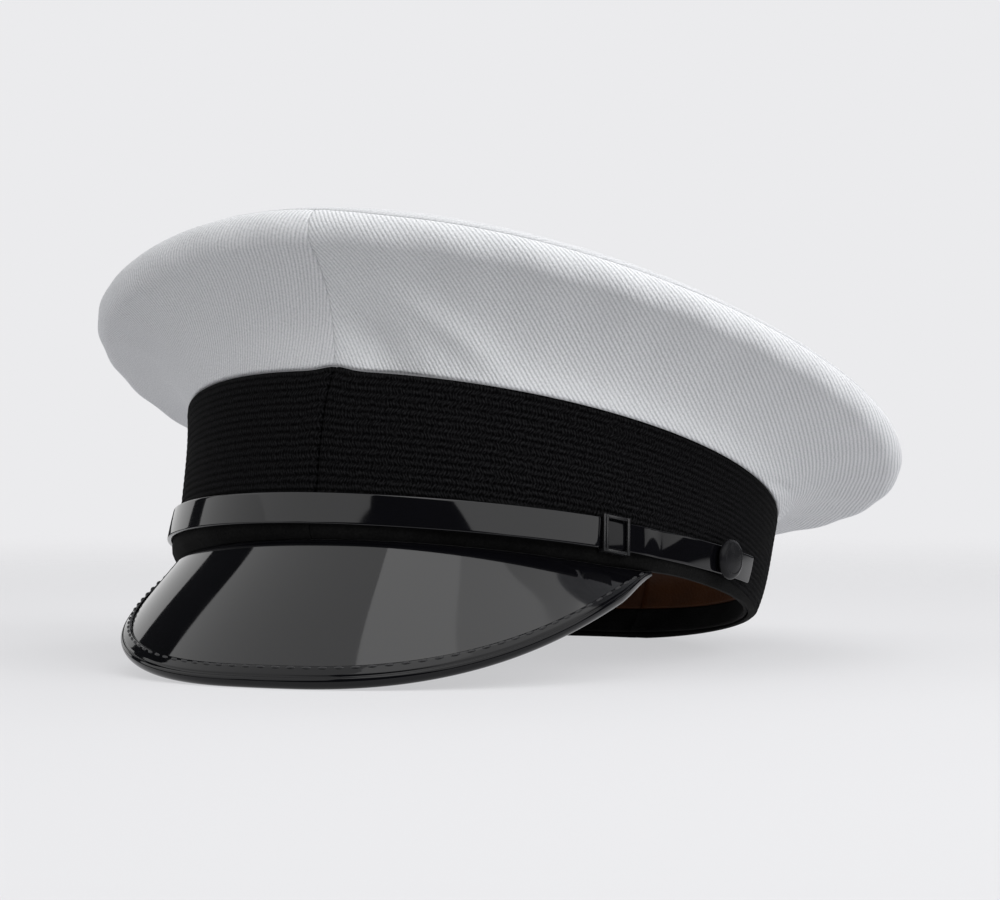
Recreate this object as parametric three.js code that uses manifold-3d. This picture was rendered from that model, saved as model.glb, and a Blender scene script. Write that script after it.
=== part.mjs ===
// Peaked cap with a white twill crown, a black braid band, a patent peak and a chin strap.
// Millimetres, +Z up, the front of the cap towards -Y and the wearer's left towards +X.
// The cap rests on a floor at z = 0, on the edge of its peak and on the back of its rim.

import * as THREE from 'three';
import { mergeVertices } from 'three/addons/utils/BufferGeometryUtils.js';
import Module from 'manifold-3d';

// How the cap rests
const REST_TILT = 12.1;
const GAP = 0.3;

// Band: oval outlines at shares of its height, and its height at front, side and back
const BAND_ROWS = [
  { share: 0.0, halfLength: 102.0, halfWidth: 85.0, forward: 2.0 },
  { share: 0.22, halfLength: 104.8, halfWidth: 85.8, forward: 0.0 },
  { share: 0.6, halfLength: 107.5, halfWidth: 86.2, forward: -2.0 },
  { share: 1.0, halfLength: 102.8, halfWidth: 89.5, forward: -0.6 },
];
const BAND_HEIGHT = { front: 45.3, side: 37.7, back: 26.2 };
const LEAN = 1.6;
const BAND_WALL = 2.4;
const BAND_LEVELS = [0, 0.05, 0.11, 0.2, 0.35, 0.5, 0.65, 0.8, 0.94, 1];
const BAND_EDGE_ROUND = 0.5;
const SEAM_BUMP = 1.4;
const SEAM_BUMP_ANGLE = 3.5;

// Hem: the band's lower edge dips and swells over the root of the peak, lower on the wearer's right, and dips a
// little at the back
const HEM_DROP = 3.6;
const HEM_SKEW = 0.55;
const HEM_DROP_FULL_ANGLE = 55;
const HEM_DROP_END_ANGLE = 79;
const HEM_SWELL = 1.9;
const HEM_SWELL_HEIGHT = 13;
const HEM_SWELL_FULL_ANGLE = 62;
const HEM_SWELL_END_ANGLE = 82;
const BACK_DIP = 1.4;
const BACK_DIP_ANGLE = 50;

// Crown: the centre line of its rolled edge, and the panels under and over it
const EDGE = { halfLength: 124.4, halfWidth: 120.1, forward: -6.3 };
const EDGE_HEIGHT = { front: 82.1, side: 57.9, back: 44.1 };
const EDGE_RADIUS = { ends: 6.5, sides: 4.5 };
const SHOULDER = { drop: 2.2, angle: -40, width: 22 };
const EDGE_SEAM_ANGLE = 32;
const SEAM_GAP = 0.45;
const CROWN_WALL = 1.5;
const PANEL_HOLLOW_ANGLE = 24.5;
const PANEL_SEAT = 1.1;
const TOP_DIP = 2;

// Sweatband and the hem tape under it, inside the band
const TAPE = { bottom: 0.6, top: 9.0, thickness: 1.4 };
const SWEATBAND = { bottom: 9.3, belowBandTop: 3, thickness: 1.2 };
const LINING_GAP = 0.6;
const SWEATBAND_JOIN_ANGLE = 172;

// Peak: its half angle round the band, its reach in plan and the lift of its edge off the floor, which leans a
// little higher on the wearer's left
const PEAK_ANGLE = 69.4;
const PEAK_REACH = 22.8;
const PEAK_END_REACH = 0.6;
const PEAK_REACH_POWER = 3.2;
const PEAK_FAN = 0.58;
const PEAK_FLAT_SHARE = 0.085;
const PEAK_LIFT_POWER = 2.35;
const PEAK_RAISE = 0.6;
const PEAK_LEAN = 7.2;
const PEAK_LEAN_POWER = 6;
const PEAK_END_SHARE = 0.955;
const PEAK_WALL = 2.0;
const PEAK_STEPS = 34;

// Peak binding: a folded strip round the edge of the peak
const BINDING = { flange: 4.4, thickness: 0.7, bead: 1.8, clearance: 0.3 };

// Chin strap: a long front length, and a tail on the wearer's left that runs under it through a keeper
const STRAP_FRONT = { width: 9.2, thickness: 1.4, startAngle: -96, endAngle: 52.2 };
const STRAP_TAIL = { width: 8.4, thickness: 1.0, startAngle: 43, endAngle: 96 };
const STRAP_LEVEL = { front: 4.7, rise: 3.6 };
const KEEPER = { angle: 55.6, length: 9.4, wall: 0.6, height: 10.8, windowLength: 6.8, windowHeight: 8.8 };
const BUTTON = { angle: 84.5, level: 8.3, radius: 5.95, thickness: 3.0, baseShare: 0.8, turn: 6 };

// Materials
const WHITE_TWILL = { color: 0xdcdee2, roughness: 0.9, metalness: 0 };
const BLACK_BRAID = { color: 0x0b0b0c, roughness: 0.9, metalness: 0 };
const BROWN_LEATHER = { color: 0x5a3115, roughness: 0.6, metalness: 0 };
const BLACK_PATENT = { color: 0x050506, roughness: 0.1, metalness: 0 };
const BLACK_METAL = { color: 0x08090a, roughness: 0.25, metalness: 0.4 };

const wasm = await Module();
wasm.setup();

const UP = new THREE.Vector3(0, 0, 1);
const rad = THREE.MathUtils.degToRad;
const FLOOR_SLOPE = Math.tan(rad(REST_TILT));

// Plain helpers

function smooth(low, high, value) {
  const share = THREE.MathUtils.clamp((value - low) / (high - low), 0, 1);
  return share * share * (3 - 2 * share);
}

function steps(first, last, count) {
  return Array.from({ length: count + 1 }, (item, i) => first + ((last - first) * i) / count);
}

// A height that is given at the front, side and back, at angle t from the front
function heightAround(height, t) {
  const c = Math.cos(t);
  const middle = (height.front + height.back) / 2;
  return height.side + ((height.front - height.back) / 2) * c + (middle - height.side) * c * c;
}

// The value of one column of the band's rows at a share of its height
function bandColumn(column, share) {
  let sum = 0;
  for (const row of BAND_ROWS) {
    let weight = 1;
    for (const other of BAND_ROWS) {
      if (other !== row) {
        weight *= (share - other.share) / (row.share - other.share);
      }
    }
    sum += weight * row[column];
  }
  return sum;
}

// A point of an oval, moved out of the oval by an offset
function ovalPoint(oval, t, z, offset) {
  const normal = new THREE.Vector2(oval.halfLength * Math.sin(t), -oval.halfWidth * Math.cos(t));
  normal.setLength(offset);
  const x = oval.halfWidth * Math.sin(t);
  const y = -(oval.forward + oval.halfLength * Math.cos(t));
  return new THREE.Vector3(x + normal.x, y + normal.y, z);
}

// A geometry from points and triangles, turned to face outwards
function closedGeometry(points, triangles) {
  let volume = 0;
  for (let i = 0; i < triangles.length; i += 3) {
    const [a, b, c] = [points[triangles[i]], points[triangles[i + 1]], points[triangles[i + 2]]];
    volume += a.dot(new THREE.Vector3().crossVectors(b, c));
  }
  const index = [];
  for (let i = 0; i < triangles.length; i += 3) {
    const [a, b, c] = triangles.slice(i, i + 3);
    index.push(a, volume > 0 ? b : c, volume > 0 ? c : b);
  }
  const geometry = new THREE.BufferGeometry().setFromPoints(points);
  geometry.setIndex(index);
  geometry.computeVertexNormals();
  return geometry;
}

// A wall between an outer and an inner surface, over stations along it and rows across it
function wall(stations, rows, outer, inner) {
  const points = [];
  for (const surface of [outer, inner]) {
    for (const station of stations) {
      for (const row of rows) {
        points.push(surface(station, row));
      }
    }
  }
  const triangles = [];
  const at = (side, i, j) => (side * stations.length + i) * rows.length + j;
  const quad = (a, b, c, d) => triangles.push(a, b, c, a, c, d);
  const lastStation = stations.length - 1;
  const lastRow = rows.length - 1;
  for (let i = 0; i < lastStation; i += 1) {
    for (let j = 0; j < lastRow; j += 1) {
      quad(at(0, i, j), at(0, i + 1, j), at(0, i + 1, j + 1), at(0, i, j + 1));
      quad(at(1, i, j), at(1, i, j + 1), at(1, i + 1, j + 1), at(1, i + 1, j));
    }
    quad(at(1, i, 0), at(1, i + 1, 0), at(0, i + 1, 0), at(0, i, 0));
    quad(at(0, i, lastRow), at(0, i + 1, lastRow), at(1, i + 1, lastRow), at(1, i, lastRow));
  }
  for (let j = 0; j < lastRow; j += 1) {
    quad(at(0, 0, j), at(0, 0, j + 1), at(1, 0, j + 1), at(1, 0, j));
    quad(at(0, lastStation, j), at(1, lastStation, j), at(1, lastStation, j + 1), at(0, lastStation, j + 1));
  }
  return closedGeometry(points, triangles);
}

// A round cover between an upper and a lower surface, over rings that end in a middle point
function cover(count, rings, upper, lower, middleUpper, middleLower) {
  const points = [];
  for (const surface of [upper, lower]) {
    for (const ring of rings) {
      for (let i = 0; i < count; i += 1) {
        points.push(surface((2 * Math.PI * i) / count, ring));
      }
    }
  }
  const tops = points.push(middleUpper) - 1;
  const bottoms = points.push(middleLower) - 1;
  const triangles = [];
  const at = (side, j, i) => (side * rings.length + j) * count + (i % count);
  const quad = (a, b, c, d) => triangles.push(a, b, c, a, c, d);
  const last = rings.length - 1;
  for (let i = 0; i < count; i += 1) {
    for (let j = 0; j < last; j += 1) {
      quad(at(0, j, i), at(0, j, i + 1), at(0, j + 1, i + 1), at(0, j + 1, i));
      quad(at(1, j, i), at(1, j + 1, i), at(1, j + 1, i + 1), at(1, j, i + 1));
    }
    quad(at(1, 0, i), at(1, 0, i + 1), at(0, 0, i + 1), at(0, 0, i));
    triangles.push(at(0, last, i), at(0, last, i + 1), tops);
    triangles.push(at(1, last, i), bottoms, at(1, last, i + 1));
  }
  return closedGeometry(points, triangles);
}

// The lowest level of a piece once the cap is tilted to rest
function lowestLevel(geometry) {
  const tilted = geometry.clone().rotateX(-rad(REST_TILT));
  tilted.computeBoundingBox();
  return tilted.boundingBox.min.z;
}

function solid(geometry) {
  const bare = geometry.clone();
  bare.deleteAttribute('normal');
  bare.deleteAttribute('uv');
  const merged = mergeVertices(bare);
  const vertProperties = Float32Array.from(merged.attributes.position.array);
  const triVerts = Uint32Array.from(merged.index.array);
  return new wasm.Manifold(new wasm.Mesh({ numProp: 3, vertProperties, triVerts }));
}

function cut(geometry, ...tools) {
  let body = solid(geometry);
  for (const tool of tools) {
    body = body.subtract(solid(tool));
  }
  const mesh = body.getMesh();
  const result = new THREE.BufferGeometry();
  result.setAttribute('position', new THREE.BufferAttribute(Float32Array.from(mesh.vertProperties), 3));
  result.setIndex(new THREE.BufferAttribute(Uint32Array.from(mesh.triVerts), 1));
  result.computeVertexNormals();
  return result;
}

// Surfaces of the band

// The band's top edge, before the small bump at its front seam and with it
function bandTop(t) {
  return heightAround(BAND_HEIGHT, t) - LEAN * Math.sin(t);
}

function bandHeight(t) {
  const turn = Math.atan2(Math.sin(t), Math.cos(t));
  return bandTop(t) + SEAM_BUMP * Math.exp(-((turn / rad(SEAM_BUMP_ANGLE)) ** 2));
}

function bell(turn, end) {
  return turn > rad(end) ? 0 : Math.cos((turn / rad(end)) * (Math.PI / 2)) ** 2;
}

// How far the band's lower edge hangs under the rim's plane
function hemDrop(t) {
  const turn = Math.abs(Math.atan2(Math.sin(t), Math.cos(t)));
  const around = 1 - smooth(rad(HEM_DROP_FULL_ANGLE), rad(HEM_DROP_END_ANGLE), turn);
  const overPeak = HEM_DROP * (1 - HEM_SKEW * Math.sin(t)) * around;
  return overPeak + BACK_DIP * bell(Math.PI - turn, BACK_DIP_ANGLE);
}

function hemSwell(t, z) {
  const turn = Math.abs(Math.atan2(Math.sin(t), Math.cos(t)));
  const around = 1 - smooth(rad(HEM_SWELL_FULL_ANGLE), rad(HEM_SWELL_END_ANGLE), turn);
  if (z >= 0) {
    return HEM_SWELL * around * Math.max(0, 1 - z / HEM_SWELL_HEIGHT);
  }
  return HEM_SWELL * around * (1 - 0.75 * Math.min(1, (z / HEM_DROP) ** 2));
}

function bandOval(t, z) {
  const share = Math.max(0, z / bandTop(t));
  return {
    halfLength: bandColumn('halfLength', share),
    halfWidth: bandColumn('halfWidth', share),
    forward: bandColumn('forward', share),
  };
}

// The band's outer face, and its inner face, which doesn't follow the swell of the hem
function bandFace(t, z, offset = 0) {
  return ovalPoint(bandOval(t, z), t, z, hemSwell(t, z) + offset);
}

function bandBack(t, z, offset = 0) {
  return ovalPoint(bandOval(t, z), t, z, offset - BAND_WALL);
}

function bandLevel(t, level) {
  return -hemDrop(t) + level * (bandHeight(t) + hemDrop(t));
}

// Surfaces of the crown

function edgeRadius(t) {
  return EDGE_RADIUS.sides + (EDGE_RADIUS.ends - EDGE_RADIUS.sides) * Math.cos(t) ** 2;
}

// How far the rolled edge sinks at the front on the wearer's right
function shoulderDrop(t) {
  const turn = Math.atan2(Math.sin(t), Math.cos(t));
  return SHOULDER.drop * Math.exp(-(((turn - rad(SHOULDER.angle)) / rad(SHOULDER.width)) ** 2));
}

function crownSection(t) {
  const start = ovalPoint(bandOval(t, bandTop(t)), t, bandHeight(t) + GAP, -PANEL_SEAT);
  const height = heightAround(EDGE_HEIGHT, t) - LEAN * Math.sin(t) - shoulderDrop(t);
  const middle = ovalPoint(EDGE, t, height, 0);
  const radius = edgeRadius(t);
  const out = middle.clone().sub(start).setZ(0);
  const reach = out.length();
  const rise = middle.z - start.z;
  out.normalize();
  const chord = Math.hypot(reach, rise);
  const slope = Math.atan2(rise, reach) - Math.asin(radius / chord) - rad(PANEL_HOLLOW_ANGLE);
  const meet = slope - Math.PI / 2;
  const end = new THREE.Vector2(reach + radius * Math.cos(meet), rise + radius * Math.sin(meet));
  const pull = end.length() / 2;
  const knee = new THREE.Vector2(end.x - pull * Math.cos(slope), end.y - pull * Math.sin(slope));
  const curve = new THREE.QuadraticBezierCurve(new THREE.Vector2(0, 0), knee, end);
  return { start, out, reach, rise, radius, meet, curve };
}

function sectionPoint(section, flat) {
  const point = section.start.clone().addScaledVector(section.out, flat.x);
  return point.addScaledVector(UP, flat.y);
}

function rollPoint(section, angle, depth) {
  const radius = section.radius - depth;
  const x = section.reach + radius * Math.cos(angle);
  const y = section.rise + radius * Math.sin(angle);
  return sectionPoint(section, new THREE.Vector2(x, y));
}

// Row 0 to 1 runs up the side panel and row 1 to 2 round the rolled edge to the seam
function crownSide(t, row, depth) {
  const section = crownSection(t);
  if (row <= 1) {
    const point = section.curve.getPoint(row);
    const along = section.curve.getTangent(row);
    point.x -= depth * along.y;
    point.y += depth * along.x;
    return sectionPoint(section, point);
  }
  const seam = rad(EDGE_SEAM_ANGLE) - SEAM_GAP / 2 / section.radius;
  const angle = section.meet + (row - 1) * (seam - section.meet);
  return rollPoint(section, angle, depth);
}

// Row 0 to 1 runs from the seam over the rolled edge, and row 1 to 2 from there to the middle
function crownTop(t, row, depth) {
  const section = crownSection(t);
  if (row <= 1) {
    const seam = rad(EDGE_SEAM_ANGLE) + SEAM_GAP / 2 / section.radius;
    return rollPoint(section, seam + row * (Math.PI / 2 - seam), depth);
  }
  const share = 2 - row;
  const oval = { halfLength: EDGE.halfLength * share, halfWidth: EDGE.halfWidth * share, forward: EDGE.forward };
  const pitch = (EDGE_HEIGHT.front - EDGE_HEIGHT.back) / 2;
  const ends = (EDGE_HEIGHT.front + EDGE_HEIGHT.back) / 2;
  const saddle = (ends + EDGE_RADIUS.ends - EDGE_HEIGHT.side - EDGE_RADIUS.sides) / 2;
  const level = (ends + EDGE_RADIUS.ends + EDGE_HEIGHT.side + EDGE_RADIUS.sides) / 2;
  const slant = share * (pitch * Math.cos(t) - LEAN * Math.sin(t));
  const height = level + slant + share * share * (saddle * Math.cos(2 * t) - shoulderDrop(t));
  return ovalPoint(oval, t, height - TOP_DIP * (1 - share * share) - depth, 0);
}

// Surfaces of the peak

function peakRoot(side) {
  const t = side * rad(PEAK_ANGLE);
  return ovalPoint(bandOval(t, 0), t, -hemDrop(t) - GAP, 0);
}

// The outermost line of the bound edge
function peakOutline(side) {
  const t = side * rad(PEAK_ANGLE);
  const share = Math.abs(side);
  const reach = PEAK_REACH - (PEAK_REACH - PEAK_END_REACH) * share ** PEAK_REACH_POWER;
  const rim = BAND_ROWS[0];
  const point = ovalPoint(rim, t, 0, 0);
  point.x += reach * Math.sin(PEAK_FAN * t);
  point.y -= reach * Math.cos(PEAK_FAN * t);
  const backOfRim = rim.halfLength - rim.forward;
  const endFront = rim.forward + rim.halfLength * Math.cos(rad(PEAK_ANGLE));
  const lean = PEAK_LEAN * side * (1 - share ** PEAK_LEAN_POWER);
  const endLift = (endFront + backOfRim) * FLOOR_SLOPE + lean;
  const lift = endLift * Math.max(0, (share - PEAK_FLAT_SHARE) / (1 - PEAK_FLAT_SHARE)) ** PEAK_LIFT_POWER;
  point.z = (point.y - backOfRim) * FLOOR_SLOPE + PEAK_RAISE + lift;
  return point;
}

// The straight line of the peak at one side share, with its direction and its face's normal
function peakLine(side) {
  const root = peakRoot(side);
  const outline = peakOutline(side);
  const step = 0.002;
  const along = peakOutline(Math.min(1, side + step)).sub(peakOutline(Math.max(-1, side - step))).normalize();
  const down = outline.clone().sub(root);
  const length = down.length() - BINDING.bead;
  down.normalize();
  const edge = root.clone().addScaledVector(down, length);
  const face = new THREE.Vector3().crossVectors(down, along).normalize();
  if (face.z < 0) {
    face.negate();
  }
  return { root, edge, down, face, length };
}

function peakFace(side, share, depth) {
  const line = peakLine(side);
  return line.root.clone().lerp(line.edge, share).addScaledVector(line.face, -depth);
}

// Row 0 to 1 runs from the upper flange round the bead to the lower flange
function bindingPath(side, row, depth) {
  const line = peakLine(side);
  const middle = PEAK_WALL / 2;
  const half = middle + BINDING.clearance + BINDING.thickness - depth;
  const flange = Math.min(BINDING.flange, 0.45 * line.length);
  const angle = THREE.MathUtils.clamp((row - 0.25) / 0.5, 0, 1) * Math.PI;
  const back = row < 0.25 ? 1 - row / 0.25 : Math.max(0, (row - 0.75) / 0.25);
  const bead = BINDING.bead - depth;
  const x = -back * flange + bead * Math.sin(angle);
  const y = half * Math.cos(angle) - middle;
  return line.edge.clone().addScaledVector(line.down, x).addScaledVector(line.face, y);
}

// Surfaces of the strap

function strapLevel(t) {
  return STRAP_LEVEL.front + STRAP_LEVEL.rise * (1 - Math.cos(t));
}

function tailOffset(t) {
  const turn = THREE.MathUtils.radToDeg(t);
  const raised = smooth(46.5, 51, turn) * (1 - smooth(61, 66, turn));
  return GAP + raised * (KEEPER.wall + 1.5 * GAP);
}

// The front length rises slowly, so that its end lies over the raised part of the tail
function frontOffset(t) {
  const turn = THREE.MathUtils.radToDeg(t);
  return GAP + smooth(10, 50, turn) * (KEEPER.wall + 2.5 * GAP + STRAP_TAIL.thickness);
}

function strapFace(strap, offset) {
  return (t, row) => bandFace(t, strapLevel(t) + row * strap.width / 2, offset(t) + strap.thickness);
}

function strapBack(strap, offset) {
  return (t, row) => bandFace(t, strapLevel(t) + row * strap.width / 2, offset(t));
}

// A point of the strap at angle t, with its length, width and outward directions
function strapFrame(t, level, offset) {
  const origin = bandFace(t, level, offset);
  const along = bandFace(t + 0.01, level, offset).sub(bandFace(t - 0.01, level, offset)).normalize();
  const lean = bandFace(t, level + 3, offset).sub(bandFace(t, level - 3, offset)).normalize();
  const out = new THREE.Vector3().crossVectors(along, lean).normalize();
  const across = new THREE.Vector3().crossVectors(out, along).normalize();
  const basis = new THREE.Matrix4().makeBasis(along, across, out);
  return { origin, basis };
}

// Pieces

const cap = new THREE.Group();

function addPiece(name, geometry, material) {
  const mesh = new THREE.Mesh(geometry, new THREE.MeshStandardMaterial(material));
  mesh.name = name;
  cap.add(mesh);
  return mesh;
}

// Crown: two side panels that meet at a front and a back seam, and a top panel
const seamAngle = GAP / 2 / EDGE.halfWidth;
const sideRows = [0, 0.3, 0.65, 1, 1.35, 1.7, 2];
const sideOuter = (t, row) => crownSide(t, row, 0);
const sideInner = (t, row) => crownSide(t, row, CROWN_WALL);
const leftStations = steps(seamAngle, Math.PI - seamAngle, 36);
const rightStations = steps(-Math.PI + seamAngle, -seamAngle, 36);
addPiece('crown_side_left', wall(leftStations, sideRows, sideOuter, sideInner), WHITE_TWILL);
addPiece('crown_side_right', wall(rightStations, sideRows, sideOuter, sideInner), WHITE_TWILL);

const topRings = [0, 0.33, 0.67, 1, 1.12, 1.32, 1.6, 1.85];
const topUpper = (t, row) => crownTop(t, row, 0);
const topLower = (t, row) => crownTop(t, row, CROWN_WALL);
const topMiddle = [crownTop(0, 2, 0), crownTop(0, 2, CROWN_WALL)];
addPiece('crown_top', cover(72, topRings, topUpper, topLower, ...topMiddle), WHITE_TWILL);

// Peak and its binding, with closer stations towards the ends
const peakStations = steps(-1, 1, PEAK_STEPS).map((share) => PEAK_END_SHARE * Math.sin((share * Math.PI) / 2));
const peakRows = [0, 0.35, 0.7, 1];
const peakOuter = (side, row) => peakFace(side, row, 0);
const peakInner = (side, row) => peakFace(side, row, PEAK_WALL);
addPiece('peak', wall(peakStations, peakRows, peakOuter, peakInner), BLACK_PATENT);
const bindingRows = [0, 0.25, 0.36, 0.45, 0.55, 0.64, 0.75, 1];
const bindingOuter = (side, row) => bindingPath(side, row, 0);
const bindingInner = (side, row) => bindingPath(side, row, BINDING.thickness);
const bindingGeometry = wall(peakStations, bindingRows, bindingOuter, bindingInner);
addPiece('peak_binding', bindingGeometry, BLACK_PATENT);

// Band: one strip whose ends meet at the front seam, pressed flat where it rests at the back
const bandSeam = GAP / 2 / BAND_ROWS[0].halfWidth;
const bandStations = steps(bandSeam, 2 * Math.PI - bandSeam, 60);
const bandOuter = (t, level) => {
  const inset = level === 0 || level === 1 ? BAND_EDGE_ROUND : 0;
  return bandFace(t, bandLevel(t, level), -inset);
};
const bandInner = (t, level) => bandBack(t, bandLevel(t, level));
const floorBlock = new THREE.BoxGeometry(400, 400, 100);
floorBlock.translate(0, 0, -50 + lowestLevel(bindingGeometry));
floorBlock.rotateX(rad(REST_TILT));
const bandWall = wall(bandStations, BAND_LEVELS, bandOuter, bandInner);
addPiece('band', cut(bandWall, floorBlock), BLACK_BRAID);

// Hem tape and sweatband, two strips inside the band
const joinAngle = rad(SWEATBAND_JOIN_ANGLE);
const innerStations = steps(joinAngle + bandSeam, joinAngle + 2 * Math.PI - bandSeam, 48);
const tapeLevel = (row) => TAPE.bottom + row * (TAPE.top - TAPE.bottom);
const tapeFace = (t, row) => bandBack(t, tapeLevel(row), -LINING_GAP);
const tapeBack = (t, row) => bandBack(t, tapeLevel(row), -LINING_GAP - TAPE.thickness * (row < 1 ? 1 : 0.6));
addPiece('hem_tape', wall(innerStations, [0, 0.7, 1], tapeFace, tapeBack), BLACK_BRAID);
const sweatLevel = (t, row) => {
  const top = bandHeight(t) - SWEATBAND.belowBandTop;
  return SWEATBAND.bottom + row * (top - SWEATBAND.bottom);
};
const sweatFace = (t, row) => bandBack(t, sweatLevel(t, row), -LINING_GAP);
const sweatBack = (t, row) => bandBack(t, sweatLevel(t, row), -LINING_GAP - SWEATBAND.thickness);
addPiece('sweatband', wall(innerStations, [0, 0.25, 0.5, 0.75, 1], sweatFace, sweatBack), BROWN_LEATHER);

// Chin strap: the front length, and the tail with its keeper
const frontStations = steps(rad(STRAP_FRONT.startAngle), rad(STRAP_FRONT.endAngle), 48);
const frontFace = strapFace(STRAP_FRONT, frontOffset);
const frontBack = strapBack(STRAP_FRONT, frontOffset);
addPiece('strap_front', wall(frontStations, [-1, 0, 1], frontFace, frontBack), BLACK_PATENT);

const tailStations = steps(rad(STRAP_TAIL.startAngle), rad(STRAP_TAIL.endAngle), 24);
const tailFace = strapFace(STRAP_TAIL, tailOffset);
const tailBack = strapBack(STRAP_TAIL, tailOffset);
addPiece('strap_tail', wall(tailStations, [-1, 0, 1], tailFace, tailBack), BLACK_PATENT);

const passHeight = STRAP_TAIL.width + 2 * GAP;
const passDepth = STRAP_TAIL.thickness + 2 * GAP;
const sleeve = new THREE.BoxGeometry(KEEPER.length, KEEPER.height, passDepth + 2 * KEEPER.wall);
const passage = new THREE.BoxGeometry(KEEPER.length + 2, passHeight, passDepth);
const opening = new THREE.BoxGeometry(KEEPER.windowLength, KEEPER.windowHeight, passDepth);
opening.translate(0, 0, passDepth);
const keeperAngle = rad(KEEPER.angle);
const keeperMiddle = tailOffset(keeperAngle) + STRAP_TAIL.thickness / 2;
const keeperFrame = strapFrame(keeperAngle, strapLevel(keeperAngle), keeperMiddle);
const keeper = addPiece('keeper', cut(sleeve, passage, opening), BLACK_METAL);
keeper.position.copy(keeperFrame.origin);
keeper.quaternion.setFromRotationMatrix(keeperFrame.basis);

// Buttons at both ends of the strap, turned a little to the front
const BUTTON_SIDES = [
  { name: 'button_left', sign: 1, strap: STRAP_TAIL, offset: tailOffset },
  { name: 'button_right', sign: -1, strap: STRAP_FRONT, offset: frontOffset },
];
const buttonProfile = [
  [0, 0],
  [BUTTON.baseShare, 0],
  [1, 0.25],
  [1, 0.55],
  [0.9, 0.7],
  [0.8, 0.72],
  [0.5, 0.92],
  [0, 1],
].map(([r, z]) => new THREE.Vector2(r * BUTTON.radius, z * BUTTON.thickness));
for (const { name, sign, strap, offset } of BUTTON_SIDES) {
  const buttonShape = new THREE.LatheGeometry(buttonProfile, 20);
  buttonShape.rotateX(Math.PI / 2);
  const buttonAngle = sign * rad(BUTTON.angle);
  const clearance = GAP + BUTTON.baseShare * BUTTON.radius * Math.sin(rad(BUTTON.turn));
  const buttonFrame = strapFrame(buttonAngle, BUTTON.level, offset(buttonAngle) + strap.thickness + clearance);
  const button = addPiece(name, buttonShape, BLACK_METAL);
  button.position.copy(buttonFrame.origin);
  button.quaternion.setFromRotationMatrix(buttonFrame.basis);
  button.rotateY(-sign * rad(BUTTON.turn));
}

// Rest pose: the front of the rim raised, the cap down on the floor and centred over the origin
cap.rotation.x = -rad(REST_TILT);
const restingCap = new THREE.Group();
restingCap.add(cap);
restingCap.updateMatrixWorld(true);
const bounds = new THREE.Box3().setFromObject(restingCap, true);
const centre = bounds.getCenter(new THREE.Vector3());
cap.position.set(-centre.x, -centre.y, -bounds.min.z);
restingCap.updateMatrixWorld(true);

export default restingCap;
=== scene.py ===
"""Peaked cap: the looks of every piece, the studio and the camera.

Shapes are worked out in millimetres in the cap's own frame (x to the wearer's left, y to the back, z up from
the plane of the rim) and placed in the row frame, in metres, by to_row().
"""

import math

import bmesh
import bpy
import numpy as np
from mathutils import Matrix, Vector


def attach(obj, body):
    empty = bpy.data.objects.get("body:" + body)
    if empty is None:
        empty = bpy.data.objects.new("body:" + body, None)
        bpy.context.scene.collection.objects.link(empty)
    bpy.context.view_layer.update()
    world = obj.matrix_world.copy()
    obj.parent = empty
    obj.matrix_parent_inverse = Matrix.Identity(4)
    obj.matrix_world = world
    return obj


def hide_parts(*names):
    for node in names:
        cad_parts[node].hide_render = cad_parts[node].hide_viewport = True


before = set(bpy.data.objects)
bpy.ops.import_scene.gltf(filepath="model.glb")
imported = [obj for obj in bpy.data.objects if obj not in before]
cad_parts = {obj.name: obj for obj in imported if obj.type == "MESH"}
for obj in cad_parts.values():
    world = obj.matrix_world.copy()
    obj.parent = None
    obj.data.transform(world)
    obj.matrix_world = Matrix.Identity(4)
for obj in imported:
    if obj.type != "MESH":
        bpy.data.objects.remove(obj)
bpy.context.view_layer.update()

MM = 0.001

# How the cap rests: its tilt, and the place of the middle of its rim
REST_TILT = math.radians(12.1)
REST_PLACE = np.array([0.0, -4.5938, 21.5256])
GAP = 0.3

# Band: outlines at shares of its height, and its height at front, side and back
BAND_SHARES = (0.0, 0.22, 0.6, 1.0)
BAND_HALF_LENGTH = (102.0, 104.8, 107.5, 102.8)
BAND_HALF_WIDTH = (85.0, 85.8, 86.2, 89.5)
BAND_FORWARD = (2.0, 0.0, -2.0, -0.6)
BAND_HEIGHT = (45.3, 37.7, 26.2)
BAND_WALL = 2.4
LEAN = 1.6
SEAM_BUMP = 1.4
SEAM_BUMP_ANGLE = 3.5
HEM_DROP = 3.6
HEM_SKEW = 0.55
HEM_DROP_ANGLES = (55, 79)
HEM_SWELL = 1.9
HEM_SWELL_HEIGHT = 13.0
HEM_SWELL_ANGLES = (62, 82)
BACK_DIP = 1.4
BACK_DIP_ANGLE = 50
RIBS = 20
RIB_DEPTH = 0.3
STRAND_PITCH = 1.0
BAND_MEAN_RADIUS = 96
BRAID_BOTTOM = 0.8
BRAID_BOTTOM_RISE = 3.0
BRAID_BOTTOM_ANGLES = (80, 110)

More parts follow.
